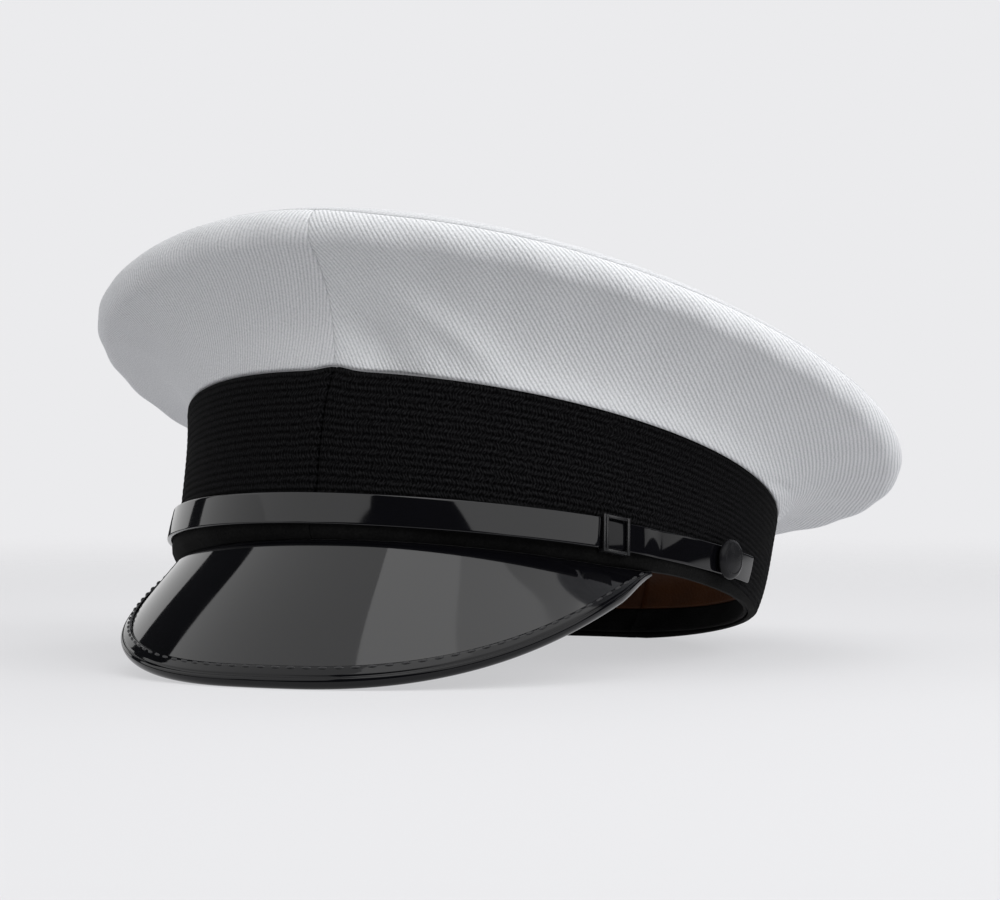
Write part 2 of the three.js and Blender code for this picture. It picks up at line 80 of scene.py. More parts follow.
# Crown: the centre line of its rolled edge, and the panels under and over it
EDGE = (124.4, 120.1, -6.3)
CAP_CORE = (0, 0, 30)
EDGE_HEIGHT = (82.1, 57.9, 44.1)
EDGE_RADIUS_ENDS = 6.5
EDGE_RADIUS_SIDES = 4.5
SHOULDER_DROP = 2.2
SHOULDER_ANGLE = -40
SHOULDER_WIDTH = 22
EDGE_SEAM_ANGLE = 40
EDGE_SEAM_SHIFT = 28
SEAM_GAP = 0.2
CROWN_WALL = 1.5
PANEL_HOLLOW = math.radians(24.5)
PANEL_SEAT = 1.1
TOP_DIP = 2.0
TWILL_PITCH = 1.15
CUT_RADIUS = 247.0
CUT_TURN = 0.51
TWILL_ANGLE_LEFT = math.radians(-61)
TWILL_ANGLE_RIGHT = math.radians(76)
TWILL_ANGLE_TOP = math.radians(55)
SIDE_SEAM_DEPTH = 0.3
EDGE_SEAM_DEPTH = 0.45
SEAM_WIDTH = 0.7
SIDE_ROLL = 14
TOP_ROLL = 6
FOOT_SWELL = 1.1
FOOT_SWELL_ROW = 0.13
FOOT_SWELL_ANGLES = (15, 45)

# Folds of the side panels: height, angle from the front and its width in degrees, row up the panel and its
# width, and the row's rise for each degree
FOLDS = (
    (1.6, 22, 9, 0.3155, 0.13, -1 / 44),
    (-2.8, 9, 8, 0.1409, 0.2, -1 / 44),
    (-1.0, -72, 28, 0.45, 0.35, 0),
    (-1.3, 128, 24, 0.42, 0.35, 0),
    (-0.9, 104, 8, 0.0992, 0.04, 1 / 130),
    (-1.0, -8, 5, 0.3, 0.2, 0),
)

# Linings inside the band
TAPE_BOTTOM = 0.6
TAPE_TOP = 9.0
TAPE_WALL = 1.4
SWEAT_BOTTOM = 9.3
SWEAT_BELOW_TOP = 3.0
SWEAT_WALL = 1.2
LINING_GAP = 0.6
LINING_MEAN_RADIUS = 92
JOIN_ANGLE = math.radians(172)

# Peak and its binding
PEAK_ANGLE = math.radians(69.4)
PEAK_REACH = 22.8
PEAK_END_REACH = 0.6
PEAK_REACH_POWER = 3.2
PEAK_FAN = 0.58
PEAK_FLAT_SHARE = 0.085
PEAK_LIFT_POWER = 2.35
PEAK_RAISE = 0.6
PEAK_LEAN = 7.2
PEAK_LEAN_POWER = 6
PEAK_END_SHARE = 0.955
PEAK_TAPER_SHARE = 0.85
PEAK_TAPER = 0.72
PEAK_WALL = 2.0
PEAK_TUCK = 1.8
PEAK_TUCK_DEPTH = 0.15
BINDING_FLANGE = 4.4
BINDING_WALL = 0.7
BINDING_BEAD = 1.8
BINDING_CLEARANCE = 0.3
STITCH_INSET = 3.5
STITCH_PITCH = 4.6
STITCH_LENGTH = 3.4
STITCH_RADIUS = 0.4
STITCH_SINK = 0.18
STITCH_RING = 8
STITCH_RINGS = 9

# Chin strap, keeper and buttons
STRAP_WIDTH = 9.2
STRAP_WALL = 1.4
STRAP_DOME = 0.06
STRAP_EDGE = 0.35
STRAP_ANGLES = (-96, 52.2)
TAIL_WIDTH = 8.4
TAIL_WALL = 1.0
TAIL_ANGLES = (43, 96)
TAIL_LIFT_ANGLES = (46.5, 51)
TAIL_FALL_ANGLES = (61, 66)
FRONT_LIFT_ANGLES = (10, 50)
STRAP_FRONT_LEVEL = 4.7
STRAP_RISE = 3.6
KEEPER_ANGLE = math.radians(55.6)
KEEPER_LENGTH = 9.4
KEEPER_WALL = 0.6
KEEPER_HEIGHT = 10.8
KEEPER_BARS = (0.8, 0.75, 0.9)
KEEPER_BAR_GAP = 0.25
KEEPER_BAR_PROUD = (0.3, 0.2, 0.2)
KEEPER_BEVEL = 0.16
BUTTON_ANGLE = math.radians(84.5)
BUTTON_LEVEL = 8.3
BUTTON_RADIUS = 5.95
BUTTON_THICKNESS = 3.0
BUTTON_BASE_SHARE = 0.8
BUTTON_TURN = math.radians(6)
BUTTON_SIDES = 48

# A button's section from its base to its middle: shares of its radius and of its thickness
BUTTON_PROFILE = (
    (0.7, 0.0), (0.82, 0.03), (0.93, 0.12), (0.99, 0.26), (1.0, 0.36), (0.98, 0.48),
    (0.93, 0.6), (0.85, 0.7), (0.78, 0.76), (0.74, 0.775), (0.7, 0.765), (0.66, 0.77),
    (0.6, 0.79), (0.48, 0.82), (0.35, 0.84), (0.22, 0.855), (0.1, 0.86),
)

# Camera of the photograph
CAMERA_PLACE = (0.4873, -0.9898, 0.0820)
CAMERA_AZIMUTH = math.radians(25.889)
CAMERA_ELEVATION = math.radians(0.984)
CAMERA_LENS = 129.149


# Plain helpers


def smooth(low, high, value):
    share = np.clip((value - low) / (high - low), 0, 1)
    return share * share * (3 - 2 * share)


def bump(value, middle, width):
    """A soft hill of height 1 at a middle value."""
    return np.exp(-(((value - middle) / width) ** 2))


def unit(vectors):
    return vectors / np.maximum(np.linalg.norm(vectors, axis=-1, keepdims=True), 1e-12)


def turn_of(t):
    """The angle from the front, from -180 to 180 degrees, in radians."""
    return np.arctan2(np.sin(t), np.cos(t))


def to_row(points):
    """Cap frame to row frame, in millimetres, with nothing under the floor."""
    x, y, z = points[..., 0], points[..., 1], points[..., 2]
    c, s = math.cos(REST_TILT), math.sin(REST_TILT)
    placed = np.stack([x, y * c + z * s, z * c - y * s], axis=-1) + REST_PLACE
    placed[..., 2] = np.maximum(placed[..., 2], 0)
    return placed


def height_around(height, t):
    front, side, back = height
    c = np.cos(t)
    return side + (front - back) / 2 * c + ((front + back) / 2 - side) * c * c


def band_column(column, share):
    """A column of the band's outlines at a share of its height, by one smooth curve through them."""
    total = 0
    for i, value in enumerate(column):
        weight = 1.0
        for j, other in enumerate(BAND_SHARES):
            if j != i:
                weight = weight * (share - other) / (BAND_SHARES[i] - other)
        total = total + weight * value
    return total


def oval_point(oval, t, z, offset=0.0):
    half_length, half_width, forward = oval
    normal_x, normal_y = half_length * np.sin(t), -half_width * np.cos(t)
    size = np.maximum(np.hypot(normal_x, normal_y), 1e-9)
    x = half_width * np.sin(t) + offset * normal_x / size
    y = -(forward + half_length * np.cos(t)) + offset * normal_y / size
    return np.stack(np.broadcast_arrays(x, y, z), axis=-1)


# Surfaces of the band


def band_top(t):
    return height_around(BAND_HEIGHT, t) - LEAN * np.sin(t)


def band_height(t):
    return band_top(t) + SEAM_BUMP * bump(turn_of(t), 0, math.radians(SEAM_BUMP_ANGLE))


def bell(turn, end):
    share = np.clip(turn / math.radians(end), 0, 1)
    return np.cos(share * math.pi / 2) ** 2


def hem_drop(t):
    """How far the band's lower edge hangs over the root of the peak, deeper on the wearer's right."""
    turn = np.abs(turn_of(t))
    low, high = (math.radians(angle) for angle in HEM_DROP_ANGLES)
    over_peak = HEM_DROP * (1 - HEM_SKEW * np.sin(t)) * (1 - smooth(low, high, turn))
    return over_peak + BACK_DIP * bell(math.pi - turn, BACK_DIP_ANGLE)


def hem_swell(t, z):
    low, high = (math.radians(angle) for angle in HEM_SWELL_ANGLES)
    around = 1 - smooth(low, high, np.abs(turn_of(t)))
    above = np.maximum(0, 1 - z / HEM_SWELL_HEIGHT)
    below = 1 - 0.75 * np.minimum(1, (z / HEM_DROP) ** 2)
    return HEM_SWELL * around * np.where(z >= 0, above, below)


def band_oval(t, z):
    share = np.maximum(0, z / band_top(t))
    return tuple(band_column(c, share) for c in (BAND_HALF_LENGTH, BAND_HALF_WIDTH, BAND_FORWARD))


def band_face(t, z, offset=0.0):
    return oval_point(band_oval(t, z), t, z, hem_swell(t, z) + offset)


def band_back(t, z, offset=0.0):
    return oval_point(band_oval(t, z), t, z, offset - BAND_WALL)


# Surfaces of the crown


def shoulder_drop(t):
    """How far the rolled edge sinks at the front on the wearer's right."""
    return SHOULDER_DROP * bump(np.degrees(turn_of(t)), SHOULDER_ANGLE, SHOULDER_WIDTH)


def crown_section(t):
    """The panel's foot, the way out from it, and the rolled edge's centre and radius, at angles t."""
    foot = oval_point(band_oval(t, band_top(t)), t, band_height(t) + GAP, -PANEL_SEAT)
    middle = oval_point(EDGE, t, height_around(EDGE_HEIGHT, t) - LEAN * np.sin(t) - shoulder_drop(t))
    radius = EDGE_RADIUS_SIDES + (EDGE_RADIUS_ENDS - EDGE_RADIUS_SIDES) * np.cos(t) ** 2
    out = (middle - foot) * np.array([1, 1, 0])
    reach = np.linalg.norm(out, axis=-1)
    rise = middle[..., 2] - foot[..., 2]
    slope = np.arctan2(rise, reach) - np.arcsin(radius / np.hypot(reach, rise)) - PANEL_HOLLOW
    return foot, unit(out), reach, rise, radius, slope


def edge_seam(t):
    """Where the top panel's seam lies on the rolled edge: further over it on the wearer's right."""
    turn = np.degrees(turn_of(t))
    over = smooth(-12, 8, -turn) * (1 - smooth(100, 150, -turn))
    return np.radians(EDGE_SEAM_ANGLE + EDGE_SEAM_SHIFT * over)


def section_point(foot, out, x, y):
    return foot + out * x[..., None] + np.array([0, 0, 1]) * y[..., None]


def crown_side(t, row):
    """Row 0 to 1 runs up the side panel and row 1 to 2 round the rolled edge to the seam."""
    foot, out, reach, rise, radius, slope = crown_section(t)
    meet = slope - math.pi / 2
    end_x = reach + radius * np.cos(meet)
    end_y = rise + radius * np.sin(meet)
    pull = np.hypot(end_x, end_y) / 2
    knee_x = end_x - pull * np.cos(slope)
    knee_y = end_y - pull * np.sin(slope)
    s = np.clip(row, 0, 1)
    panel_x = 2 * s * (1 - s) * knee_x + s * s * end_x
    panel_y = 2 * s * (1 - s) * knee_y + s * s * end_y
    seam = edge_seam(t) - SEAM_GAP / 2 / radius
    angle = meet + np.clip(row - 1, 0, 1) * (seam - meet)
    roll_x = reach + radius * np.cos(angle)
    roll_y = rise + radius * np.sin(angle)
    on_panel = row <= 1
    return section_point(foot, out, np.where(on_panel, panel_x, roll_x), np.where(on_panel, panel_y, roll_y))


def crown_top(t, row):
    """Row 0 to 1 runs from the seam over the rolled edge, and row 1 to 2 from there to the middle."""
    foot, out, reach, rise, radius, slope = crown_section(t)
    seam = edge_seam(t) + SEAM_GAP / 2 / radius
    angle = seam + np.clip(row, 0, 1) * (math.pi / 2 - seam)
    rolled = section_point(foot, out, reach + radius * np.cos(angle), rise + radius * np.sin(angle))
    share = np.clip(2 - row, 0, 1)
    front, side, back = EDGE_HEIGHT
    ends = (front + back) / 2 + EDGE_RADIUS_ENDS
    sides = side + EDGE_RADIUS_SIDES
    slant = share * ((front - back) / 2 * np.cos(t) - LEAN * np.sin(t))
    saddle = share**2 * ((ends - sides) / 2 * np.cos(2 * t) - shoulder_drop(t))
    height = (ends + sides) / 2 + slant + saddle - TOP_DIP * (1 - share**2)
    disc = oval_point((EDGE[0] * share, EDGE[1] * share, EDGE[2]), t, height)
    return np.where((row <= 1)[..., None], rolled, disc)


# Surfaces of the peak


def peak_root(side):
    t = side * PEAK_ANGLE
    return oval_point(band_oval(t, 0 * t), t, -hem_drop(t) - GAP)


def peak_outline(side):
    t = side * PEAK_ANGLE
    share = np.abs(side)
    reach = PEAK_REACH - (PEAK_REACH - PEAK_END_REACH) * share**PEAK_REACH_POWER
    rim = (BAND_HALF_LENGTH[0], BAND_HALF_WIDTH[0], BAND_FORWARD[0])
    point = oval_point(rim, t, 0 * t)
    floor_slope = math.tan(REST_TILT)
    back_of_rim = rim[0] - rim[2]
    end_front = rim[2] + rim[0] * math.cos(PEAK_ANGLE)
    lean = PEAK_LEAN * side * (1 - share**PEAK_LEAN_POWER)
    end_lift = (end_front + back_of_rim) * floor_slope + lean
    raised = np.maximum(0, (share - PEAK_FLAT_SHARE) / (1 - PEAK_FLAT_SHARE)) ** PEAK_LIFT_POWER
    x = point[..., 0] + reach * np.sin(PEAK_FAN * t)
    y = point[..., 1] - reach * np.cos(PEAK_FAN * t)
    z = (y - back_of_rim) * floor_slope + PEAK_RAISE + end_lift * raised
    return np.stack([x, y, z], axis=-1)


def peak_line(side):
    """The peak's straight lines from root to edge, their directions, lengths and faces."""
    root = peak_root(side)
    outline = peak_outline(side)
    step = 0.002
    along = unit(peak_outline(np.minimum(1, side + step)) - peak_outline(np.maximum(-1, side - step)))
    length = np.linalg.norm(outline - root, axis=-1) - BINDING_BEAD
    down = unit(outline - root)
    face = unit(np.cross(down, along))
    face = face * np.sign(face[..., 2:3])
    return root, down, face, length


def tapered(side, points):
    """Points drawn towards the peak's root near its two ends, which are tucked under the hem."""
    root = peak_root(side)
    share = np.clip((np.abs(side) - PEAK_TAPER_SHARE) / (PEAK_END_SHARE - PEAK_TAPER_SHARE), 0, 1)
    keep = 1 - PEAK_TAPER * share**2
    return root + (points - root) * keep[..., None]


def peak_point(side, distance_in, height):
    """A point at a distance in from the peak's edge and a height over its face."""
    root, down, face, length = peak_line(side)
    point = root + down * (length - distance_in)[..., None] + face * np.asarray(height)[..., None]
    return tapered(side, point)


# Surfaces of the strap


def strap_level(t):
    return STRAP_FRONT_LEVEL + STRAP_RISE * (1 - np.cos(t))


def tail_offset(t):
    turn = np.degrees(t)
    raised = smooth(*TAIL_LIFT_ANGLES, turn) * (1 - smooth(*TAIL_FALL_ANGLES, turn))
    return GAP + raised * (KEEPER_WALL + 1.5 * GAP)


def front_offset(t):
    return GAP + smooth(*FRONT_LIFT_ANGLES, np.degrees(t)) * (KEEPER_WALL + 2.5 * GAP + TAIL_WALL)


def strap_frame(t, level, offset):
    """A matrix in the row frame, in metres, with x along the strap, y across it and z out of it."""
    def at(turn, height):
        return to_row(band_face(np.array(turn), np.array(height), offset))

    along = unit(at(t + 0.01, level) - at(t - 0.01, level))
    lean = unit(at(t, level + 3) - at(t, level - 3))
    out = unit(np.cross(along, lean))
    across = np.cross(out, along)
    place = np.eye(4)
    place[:3, 0], place[:3, 1], place[:3, 2] = along, across, out
    place[:3, 3] = at(t, level) * MM
    return Matrix(place.tolist())


# Meshes


def mesh_volume(mesh):
    """The volume that a mesh closes, below zero if it is inside out."""
    shape = bmesh.new()
    shape.from_mesh(mesh)
    volume = shape.calc_volume(signed=True)
    shape.free()
    return volume


def make_piece(name, points, faces, material, replaced=(), uv=None, face_materials=None):
    """A smooth mesh piece from points in millimetres in the row frame, riding on the cap."""
    mesh = bpy.data.meshes.new(name)
    mesh.from_pydata((np.asarray(points) * MM).tolist(), [], faces)
    if mesh_volume(mesh) < 0:
        mesh.flip_normals()
    if uv is not None:
        layer = mesh.uv_layers.new(name="flat")
        corners = np.zeros(len(mesh.loops), np.int32)
        mesh.loops.foreach_get("vertex_index", corners)
        layer.data.foreach_set("uv", np.asarray(uv, np.float32)[corners].ravel())
    for item in material if isinstance(material, (list, tuple)) else [material]:
        mesh.materials.append(item)
    if face_materials is not None:
        mesh.polygons.foreach_set("material_index", np.asarray(face_materials, np.int32))
    mesh.polygons.foreach_set("use_smooth", np.ones(len(mesh.polygons), bool))
    mesh.update()
    piece = bpy.data.objects.new(name, mesh)
    bpy.context.scene.collection.objects.link(piece)
    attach(piece, "root")
    if replaced:
        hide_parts(*replaced)
    return piece


def wall_faces(stations, rows):
    """Quads of a closed wall: an outer grid, then an inner grid, joined round their edges."""
    def at(side, i, j):
        return (side * stations + i) * rows + j

    faces = []
    for i in range(stations - 1):
        for j in range(rows - 1):
            faces.append((at(0, i, j), at(0, i + 1, j), at(0, i + 1, j + 1), at(0, i, j + 1)))
            faces.append((at(1, i, j), at(1, i, j + 1), at(1, i + 1, j + 1), at(1, i + 1, j)))
    for i in range(stations - 1):
        last = rows - 1
        faces.append((at(1, i, 0), at(1, i + 1, 0), at(0, i + 1, 0), at(0, i, 0)))
        faces.append((at(0, i, last), at(0, i + 1, last), at(1, i + 1, last), at(1, i, last)))
    for j in range(rows - 1):
        last = stations - 1
        faces.append((at(0, 0, j), at(0, 0, j + 1), at(1, 0, j + 1), at(1, 0, j)))
        faces.append((at(0, last, j), at(1, last, j), at(1, last, j + 1), at(0, last, j + 1)))
    return faces


def tube_faces(stations, ring):
    """Quads of a closed tube of rings, with its two ends capped."""
    faces = []
    for i in range(stations - 1):
        for j in range(ring):
            k = (j + 1) % ring
            faces.append((i * ring + j, (i + 1) * ring + j, (i + 1) * ring + k, i * ring + k))
    last = (stations - 1) * ring
    faces.append(tuple(range(ring)))
    faces.append(tuple(last + j for j in reversed(range(ring))))
    return faces


def grid_normals(points):
    """Normals of a grid of points, facing away from the middle of the cap."""
    normals = unit(np.cross(np.gradient(points, axis=0), np.gradient(points, axis=1)))
    outward = points - np.array(CAP_CORE)
    return normals * np.sign(np.sum((normals * outward).reshape(-1, 3)))


def joined(*grids):
    return np.concatenate([grid.reshape(-1, grid.shape[-1]) for grid in grids])


def mesh_grid(columns, rows):
    return np.meshgrid(np.asarray(columns, float), np.asarray(rows, float), indexing="ij")


# Materials


class Surface:
    """A principled material with short ways to add and join nodes."""

    def __init__(self, name, color, roughness):
        self.material = bpy.data.materials.new(name)
        self.material.use_nodes = True
        self.tree = self.material.node_tree
        self.shader = self.tree.nodes["Principled BSDF"]
        self.shader.inputs["Base Color"].default_value = (*color, 1)
        self.shader.inputs["Roughness"].default_value = roughness

    def set(self, **values):
        for name, value in values.items():
            self.shader.inputs[name.replace("_", " ")].default_value = value

    def node(self, kind, links=(), settings=(), **values):
        made = self.tree.nodes.new("ShaderNode" + kind)
        for name, value in dict(settings).items():
            setattr(made, name, value)
        for name, value in values.items():
            made.inputs[name.replace("_", " ")].default_value = value
        for name, source in dict(links).items():
            self.tree.links.new(source, made.inputs[name])
        return made

    def link(self, source, name):
        self.tree.links.new(source, self.shader.inputs[name])

    def flat(self):
        return self.node("UVMap", settings={"uv_map": "flat"}).outputs["UV"]

    def place(self):
        return self.node("TexCoord").outputs["Object"]

    def noise(self, vector, scale, detail=3.0):
        made = self.node("TexNoise", {"Vector": vector}, Scale=scale, Detail=detail)
        return made.outputs["Fac"]

    def math(self, operation, first, second):
        made = self.node("Math", settings={"operation": operation})
        for socket, value in zip(made.inputs, (first, second)):
            if isinstance(value, (int, float)):
                socket.default_value = value
            else:
                self.tree.links.new(value, socket)
        return made.outputs[0]

    def sum(self, first, second):
        return self.math("ADD", first, second)

    def ramp(self, factor, low, high, start=0.0, end=1.0):
        made = self.node("ValToRGB", {"Fac": factor})
        first, last = made.color_ramp.elements
        first.position, first.color = start, (*low, 1)
        last.position, last.color = end, (*high, 1)
        return made.outputs["Color"]

    def span(self, factor, low, high, start=0.0, end=1.0):
        ends = {"From_Min": start, "From_Max": end, "To_Min": low, "To_Max": high}
        return self.node("MapRange", {"Value": factor}, **ends).outputs["Result"]

    def bump(self, height, distance, strength=1.0):
        made = self.node("Bump", {"Height": height}, Distance=distance, Strength=strength)
        self.link(made.outputs["Normal"], "Normal")


WAVE_UNIT = math.pi / 10


def stripes(surface, vector, distortion=0.0, direction="X"):
    """Bands across one direction of the vector, one for each unit."""
    made = surface.node(
        "TexWave",
        {"Vector": vector},
        {"wave_type": "BANDS", "bands_direction": direction, "wave_profile": "SIN"},
        Scale=WAVE_UNIT,
        Distortion=distortion,
        Detail=1.0,
        Detail_Scale=1.5,
    )
    return made.outputs["Fac"]


def white_twill(name, strength, level):
    surface = Surface(name, (0.80, 0.81, 0.84), 0.88)
    surface.set(Specular_IOR_Level=0.2)
    flat = surface.flat()
    ridges = surface.math("POWER", stripes(surface, flat, 0.9), 0.6)
    fibres = surface.noise(flat, 1.9, 2.0)
    cloud = surface.noise(surface.place(), 14.0, 4.0)
    # The twill's grooves are painted darker than its ridges in the base colour: painted shade of the weave,
    # on top of the bump made from the same lines. Strength sets both.
    lines = surface.math("MULTIPLY", ridges, strength)
    weave = surface.sum(surface.math("MULTIPLY", fibres, 1.05), lines)
    shade = surface.sum(surface.math("MULTIPLY", cloud, 0.3), weave)
    start = 0.6 * strength - 0.05
    tone = surface.span(shade, 0, 1, start, start + 1.27)
    # Level scales the whole colour. A level below 1 is painted shade: the same cloth made darker.
    low = [level * share for share in (0.405, 0.415, 0.435)]
    high = [level * share for share in (0.835, 0.84, 0.855)]
    surface.link(surface.ramp(tone, low, high), "Base Color")
    surface.bump(weave, 0.0004 * strength, 0.9)
    return surface.material


def black_braid():
    surface = Surface("black_braid", (0.012, 0.012, 0.013), 0.8)
    surface.set(Specular_IOR_Level=0.03)
    flat = surface.flat()
    strands = surface.math("MULTIPLY", stripes(surface, flat, 4.5), 0.16)
    ribs = surface.math("MULTIPLY", stripes(surface, flat, 0.3, "Y"), 0.12)
    fibres = surface.noise(flat, 2.2, 4.0)
    weave = surface.sum(fibres, surface.sum(strands, ribs))
    specks = surface.span(weave, 0, 1, 0.54, 0.9)
    surface.link(surface.ramp(specks, (0.0004, 0.0004, 0.0005), (0.0135, 0.0135, 0.0145)), "Base Color")
    surface.link(surface.span(fibres, 0.65, 0.95), "Roughness")
    surface.bump(weave, 0.0005, 0.9)
    return surface.material


def black_felt():
    surface = Surface("black_felt", (0.01, 0.01, 0.01), 0.9)
    surface.set(Specular_IOR_Level=0.08)
    place = surface.place()
    fibres = surface.noise(place, 1400.0, 4.0)
    cloud = surface.noise(place, 90.0, 2.0)
    mixed = surface.math("MULTIPLY", fibres, cloud)
    surface.link(surface.ramp(mixed, (0.001, 0.001, 0.001), (0.008, 0.008, 0.008), 0.1, 0.5), "Base Color")
    surface.bump(fibres, 0.0003, 0.7)
    return surface.material


def black_patent(name, shine):
    surface = Surface(name, (0.005, 0.005, 0.006), 0.06)
    surface.set(Specular_IOR_Level=shine)
    place = surface.place()
    waves = surface.noise(place, 22.0, 1.0)
    smudges = surface.noise(place, 60.0, 5.0)
    surface.link(surface.ramp(smudges, (0.0015, 0.0015, 0.002), (0.003, 0.003, 0.004)), "Base Color")
    surface.link(surface.span(smudges, 0.02, 0.09), "Roughness")
    surface.bump(waves, 0.0010, 0.06)
    return surface.material


def black_metal(name, shine):
    surface = Surface(name, (0.008, 0.008, 0.009), 0.22)
    surface.set(Specular_IOR_Level=shine)
    place = surface.place()
    wear = surface.noise(place, 300.0, 4.0)
    surface.link(surface.span(wear, 0.16, 0.36), "Roughness")
    surface.link(surface.ramp(wear, (0.006, 0.006, 0.007), (0.014, 0.014, 0.015)), "Base Color")
    surface.bump(wear, 0.00005, 0.4)
    return surface.material


def brown_leather():
    # The leather's colour is a very dark brown: partly its own brown, partly painted shade of the inside of
    # the crown.
    surface = Surface("brown_leather", (0.05, 0.016, 0.004), 0.5)
    surface.set(Specular_IOR_Level=0.15)
    place = surface.place()
    grain = surface.node("TexVoronoi", {"Vector": place}, Scale=900.0).outputs["Distance"]
    cloud = surface.noise(place, 40.0, 4.0)
    surface.link(surface.ramp(cloud, (0.035, 0.011, 0.003), (0.065, 0.022, 0.006), 0.3, 0.75), "Base Color")
    surface.link(surface.span(cloud, 0.4, 0.62), "Roughness")
    surface.bump(grain, 0.0002, 0.5)
    return surface.material


def black_thread():
    surface = Surface("black_thread", (0.012, 0.012, 0.013), 0.5)
    place = surface.place()
    twist = surface.noise(place, 2500.0, 2.0)
    surface.link(surface.ramp(twist, (0.006, 0.006, 0.007), (0.03, 0.03, 0.032)), "Base Color")
    surface.bump(twist, 0.0001, 0.6)
    return surface.material


TWILL = white_twill("white_twill", 0.58, 1.0)
# The top panel is the side panels' white cloth painted darker (level 0.86), as painted shade on its upward
# face, with fainter twill lines.
PAINTED_SHADE_TOP_TWILL = white_twill("white_top_twill_painted_shade", 0.2, 0.86)
BRAID = black_braid()
FELT = black_felt()
PATENT = black_patent("black_patent", 0.5)
BINDING_PATENT = black_patent("black_binding_patent", 0.28)
TAIL_PATENT = black_patent("black_tail_patent", 0.25)
METAL = black_metal("black_metal", 0.5)
BUTTON_METAL = black_metal("black_button_metal", 0.12)
LEATHER = brown_leather()
THREAD = black_thread()


# Crown


def cut_pattern(points, t, angle):
    """Places on the flat cut of a side panel, across and along the lines of its twill, in line pitches."""
    rise = np.linalg.norm(np.diff(points, axis=1), axis=-1)
    up = np.concatenate([np.zeros((len(points), 1)), np.cumsum(rise, axis=1)], axis=1)
    radius = CUT_RADIUS + up - up[:, -1:]
    turn = CUT_TURN * t
    x = radius * np.sin(turn)
    y = radius * np.cos(turn)
    along = x * math.cos(angle) + y * math.sin(angle)
    across = -x * math.sin(angle) + y * math.cos(angle)
    return np.stack([across, along], axis=-1) / TWILL_PITCH


def cloth_relief(t, row):
    """How far the panel's cloth stands out: hollows and ridges where it is pulled between its seams."""
    turn = np.degrees(t)
    relief = FOOT_SWELL * bump(row, 0, FOOT_SWELL_ROW) * smooth(*FOOT_SWELL_ANGLES, turn)
    for height, angle, angle_width, middle, width, rise in FOLDS:
        away = turn - angle
        relief += height * bump(away, 0, angle_width) * bump(row, middle + rise * away, width)
    relief += 0.22 * np.sin(turn * 0.55 + 2.5 * row) * np.sin(row * math.pi / 2)
    relief += 0.10 * np.sin(turn * 2.3) * bump(row, 0, 0.25)
    return relief


def seam_valley(distance, depth, width):
    return -depth * np.exp(-distance / width)


def crown_panel(name, first, last, twill_angle):
    seam_angle = SEAM_GAP / 4 / EDGE[1]
    edge_steps = np.array([0, 0.0015, 0.004, 0.008, 0.014])
    inner_steps = np.linspace(0.022, 1 - 0.022, 200)
    shares = np.concatenate([edge_steps, inner_steps, 1 - edge_steps[::-1]])
    low, high = first + seam_angle, last - seam_angle
    rows = np.concatenate([np.linspace(0, 1, 44), np.linspace(1.04, 1.86, 18), [1.9, 1.94, 1.97, 2]])
    t, row = mesh_grid(low + (high - low) * shares, rows)
    points = crown_side(t, row)
    normals = grid_normals(points)
    to_seam = np.minimum(t - low, high - t) * np.linalg.norm(points[..., :2], axis=-1)
    relief = cloth_relief(t, row) * (1 - np.exp(-to_seam / 3)) * (1 - smooth(1.6, 2, row))
    relief += seam_valley(to_seam, SIDE_SEAM_DEPTH, SEAM_WIDTH)
    relief += seam_valley((2 - row) * SIDE_ROLL, EDGE_SEAM_DEPTH, SEAM_WIDTH)
    outer = points + normals * relief[..., None]
    inner = points - normals * (CROWN_WALL - np.minimum(relief, 0))[..., None]
    pattern = cut_pattern(points, t, twill_angle)
    return make_piece(
        name + "_cloth",
        to_row(joined(outer, inner)),
        wall_faces(*t.shape),
        TWILL,
        [name],
        joined(pattern, pattern),
    )


side_left = crown_panel("crown_side_left", 0, math.pi, TWILL_ANGLE_LEFT)
side_right = crown_panel("crown_side_right", -math.pi, 0, TWILL_ANGLE_RIGHT)


def cover_pattern(points):
    """Places on the flat cut of the top panel, measured along the cloth from its middle, in line pitches."""
    steps = np.linalg.norm(np.diff(points, axis=1), axis=-1)
    to_rim = np.cumsum(steps[:, ::-1], axis=1)[:, ::-1]
    inner = np.linalg.norm(points[:, -1:, :2] - points[:, -1:, :2].mean(axis=0), axis=-1)
    reach = inner + np.concatenate([to_rim, np.zeros((len(points), 1))], axis=1)
    away = points[..., :2] - points[:, -1, :2].mean(axis=0)
    flat = unit(away) * reach[..., None]
    c, s = math.cos(TWILL_ANGLE_TOP), math.sin(TWILL_ANGLE_TOP)
    across = flat[..., 1] * c - flat[..., 0] * s
    along = flat[..., 0] * c + flat[..., 1] * s
    return np.stack([across, along], axis=-1) / TWILL_PITCH


